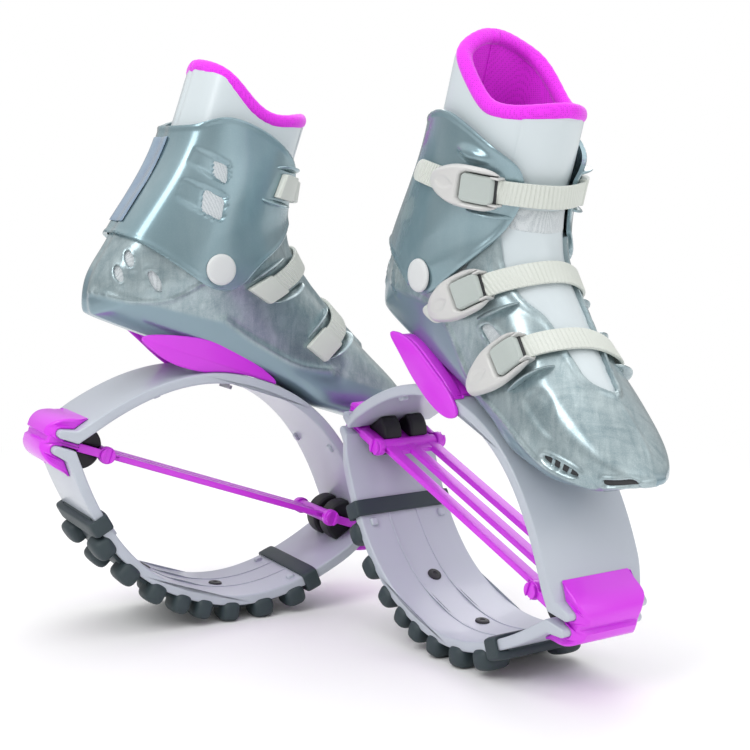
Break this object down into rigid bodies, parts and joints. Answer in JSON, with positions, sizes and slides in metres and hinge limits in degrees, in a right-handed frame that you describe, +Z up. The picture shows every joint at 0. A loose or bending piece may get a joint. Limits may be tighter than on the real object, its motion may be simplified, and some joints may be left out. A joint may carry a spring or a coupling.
{
  "type": "rebound boots",
  "caption": "Pair of hard boots with soft liners and buckled straps, each on an oval of two leaf springs joined by end caps and tension bars, with a ribbed rubber sole.",
  "frame": {"origin": "middle of the pair's bounding box, on the ground under the rubber soles", "axes": "+Z up; the right boot stands at +X and its toes point to +X and -Y, the left boot stands at -X and its toes point to +X and +Y, as in the picture"},
  "size_m": [0.4742, 0.3644, 0.4469],
  "materials": {
    "leaf_plastic": "pale lavender white, satin moulded springs",
    "magenta_plastic": "glossy magenta, moulded",
    "bumper_rubber": "matt black rubber",
    "tread_rubber": "dark green grey rubber",
    "shell_plastic": "pearl silver grey, streaky",
    "cuff_plastic": "pearl blue grey",
    "white_plastic": "white",
    "strap_plastic": "ivory, cross toothed",
    "lever_plastic": "warm white",
    "tab_plastic": "pale grey green",
    "lining_fabric": "magenta mesh over padding",
    "liner_fabric": "white padded boot liner with mesh panels",
    "translucent_plastic": "pale blue, milky",
    "dark_plastic": "dark grey",
    "steel": "plated bolts",
    "foam_fabric": "grey foam insole"
  },
  "bodies": {
    "ground": {"right_lower_leaf": "leaf_plastic", "right_tread_sole": "tread_rubber", "right_sole_plugs": "dark_plastic", "left_lower_leaf": "leaf_plastic", "left_tread_sole": "tread_rubber", "left_sole_plugs": "dark_plastic"},
    "right_spring_links": {"right_front_cap": "magenta_plastic", "right_rear_cap": "magenta_plastic", "right_tension_bars": "magenta_plastic", "right_link_pins": "magenta_plastic", "right_bumpers": "bumper_rubber", "right_upper_leaf": "leaf_plastic"},
    "right_boot": {"right_boot_mount": "magenta_plastic", "right_mount_bolts": "steel", "right_lower_shell": "shell_plastic", "right_ankle_rivets": "white_plastic", "right_liner": "liner_fabric", "right_liner_collar": "lining_fabric", "right_tongue": "liner_fabric", "right_insole": "foam_fabric", "right_middle_strap": "strap_plastic", "right_toe_strap": "strap_plastic", "right_lower_buckle_bases": "lever_plastic"},
    "right_ankle_cuff": {"right_cuff": "cuff_plastic", "right_cuff_spoiler": "translucent_plastic", "right_top_strap": "strap_plastic", "right_top_buckle_base": "lever_plastic"},
    "right_top_lever": {"right_top_buckle_lever": "lever_plastic"},
    "right_top_tab": {"right_top_release_tab": "tab_plastic"},
    "right_middle_lever": {"right_middle_buckle_lever": "lever_plastic"},
    "right_middle_tab": {"right_middle_release_tab": "tab_plastic"},
    "right_toe_lever": {"right_toe_buckle_lever": "lever_plastic"},
    "right_toe_tab": {"right_toe_release_tab": "tab_plastic"},
    "left_spring_links": {"left_front_cap": "magenta_plastic", "left_rear_cap": "magenta_plastic", "left_tension_bars": "magenta_plastic", "left_link_pins": "magenta_plastic", "left_bumpers": "bumper_rubber", "left_upper_leaf": "leaf_plastic"},
    "left_boot": {"left_boot_mount": "magenta_plastic", "left_mount_bolts": "steel", "left_lower_shell": "shell_plastic", "left_ankle_rivets": "white_plastic", "left_liner": "liner_fabric", "left_liner_collar": "lining_fabric", "left_tongue": "liner_fabric", "left_insole": "foam_fabric", "left_middle_strap": "strap_plastic", "left_toe_strap": "strap_plastic", "left_lower_buckle_bases": "lever_plastic"},
    "left_ankle_cuff": {"left_cuff": "cuff_plastic", "left_cuff_spoiler": "translucent_plastic", "left_top_strap": "strap_plastic", "left_top_buckle_base": "lever_plastic"},
    "left_top_lever": {"left_top_buckle_lever": "lever_plastic"},
    "left_top_tab": {"left_top_release_tab": "tab_plastic"},
    "left_middle_lever": {"left_middle_buckle_lever": "lever_plastic"},
    "left_middle_tab": {"left_middle_release_tab": "tab_plastic"},
    "left_toe_lever": {"left_toe_buckle_lever": "lever_plastic"},
    "left_toe_tab": {"left_toe_release_tab": "tab_plastic"}
  },
  "joints": [
    {"name": "right_lower_spring_travel", "type": "slide", "parent": "ground", "child": "right_spring_links", "axis": [0.203, -0.2953, 0.9336], "range_m": [-0.016, 0], "stiffness_N_per_m": 20000, "springref_m": 0.002, "deforming": ["right_lower_leaf"]},
    {"name": "right_upper_spring_travel", "type": "slide", "parent": "right_spring_links", "child": "right_boot", "axis": [0.203, -0.2953, 0.9336], "range_m": [-0.016, 0], "stiffness_N_per_m": 20000, "springref_m": 0.002, "deforming": ["right_upper_leaf"]},
    {"name": "right_ankle_hinge", "type": "hinge", "parent": "right_boot", "child": "right_ankle_cuff", "pos_m": [0.1185, -0.02402, 0.28421], "axis": [0.8241, 0.5664, 0], "range_deg": [-4, 8], "stiffness_Nm_per_rad": 40, "deforming": ["right_liner", "right_liner_collar", "right_tongue"]},
    {"name": "right_top_lever_hinge", "type": "hinge", "parent": "right_ankle_cuff", "child": "right_top_lever", "pos_m": [0.12384, -0.10469, 0.34391], "axis": [0.1187, -0.1728, 0.9778], "range_deg": [0, 70]},
    {"name": "right_top_tab_hinge", "type": "hinge", "parent": "right_ankle_cuff", "child": "right_top_tab", "pos_m": [0.12384, -0.10469, 0.34391], "axis": [0.1187, -0.1728, 0.9778], "range_deg": [0, 12]},
    {"name": "right_middle_lever_hinge", "type": "hinge", "parent": "right_boot", "child": "right_middle_lever", "pos_m": [0.11465, -0.09927, 0.27986], "axis": [-0.1789, 0.3866, 0.9047], "range_deg": [0, 70]},
    {"name": "right_middle_tab_hinge", "type": "hinge", "parent": "right_boot", "child": "right_middle_tab", "pos_m": [0.11465, -0.09927, 0.27986], "axis": [-0.1789, 0.3866, 0.9047], "range_deg": [0, 12]},
    {"name": "right_toe_lever_hinge", "type": "hinge", "parent": "right_boot", "child": "right_toe_lever", "pos_m": [0.14016, -0.12886, 0.24044], "axis": [-0.2063, 0.5886, 0.7817], "range_deg": [0, 70]},
    {"name": "right_toe_tab_hinge", "type": "hinge", "parent": "right_boot", "child": "right_toe_tab", "pos_m": [0.14016, -0.12886, 0.24044], "axis": [-0.2063, 0.5886, 0.7817], "range_deg": [0, 12]},
    {"name": "left_lower_spring_travel", "type": "slide", "parent": "ground", "child": "left_spring_links", "axis": [0.2982, 0.1572, 0.9415], "range_m": [-0.016, 0], "stiffness_N_per_m": 20000, "springref_m": 0.002, "deforming": ["left_lower_leaf"]},
    {"name": "left_upper_spring_travel", "type": "slide", "parent": "left_spring_links", "child": "left_boot", "axis": [0.2982, 0.1572, 0.9415], "range_m": [-0.016, 0], "stiffness_N_per_m": 20000, "springref_m": 0.002, "deforming": ["left_upper_leaf"]},
    {"name": "left_ankle_hinge", "type": "hinge", "parent": "left_boot", "child": "left_ankle_cuff", "pos_m": [-0.10237, 0.07681, 0.28349], "axis": [-0.4664, 0.8846, 0], "range_deg": [-4, 8], "stiffness_Nm_per_rad": 40, "deforming": ["left_liner", "left_liner_collar", "left_tongue"]},
    {"name": "left_top_lever_hinge", "type": "hinge", "parent": "left_ankle_cuff", "child": "left_top_lever", "pos_m": [-0.06136, 0.14511, 0.34475], "axis": [-0.1658, -0.0874, -0.9823], "range_deg": [0, 70]},
    {"name": "left_top_tab_hinge", "type": "hinge", "parent": "left_ankle_cuff", "child": "left_top_tab", "pos_m": [-0.06136, 0.14511, 0.34475], "axis": [-0.1658, -0.0874, -0.9823], "range_deg": [0, 12]},
    {"name": "left_middle_lever_hinge", "type": "hinge", "parent": "left_boot", "child": "left_middle_lever", "pos_m": [-0.07073, 0.14526, 0.2805], "axis": [0.3562, 0.2686, -0.895], "range_deg": [0, 70]},
    {"name": "left_middle_tab_hinge", "type": "hinge", "parent": "left_boot", "child": "left_middle_tab", "pos_m": [-0.07073, 0.14526, 0.2805], "axis": [0.3562, 0.2686, -0.895], "range_deg": [0, 12]},
    {"name": "left_toe_lever_hinge", "type": "hinge", "parent": "left_boot", "child": "left_toe_lever", "pos_m": [-0.0336, 0.16001, 0.24197], "axis": [0.4719, 0.4334, -0.7678], "range_deg": [0, 70]},
    {"name": "left_toe_tab_hinge", "type": "hinge", "parent": "left_boot", "child": "left_toe_tab", "pos_m": [-0.0336, 0.16001, 0.24197], "axis": [0.4719, 0.4334, -0.7678], "range_deg": [0, 12]}
  ],
  "couplings": [
    {"joint": "right_upper_spring_travel", "follows": "right_lower_spring_travel", "ratio": 1},
    {"joint": "left_upper_spring_travel", "follows": "left_lower_spring_travel", "ratio": 1}
  ]
}
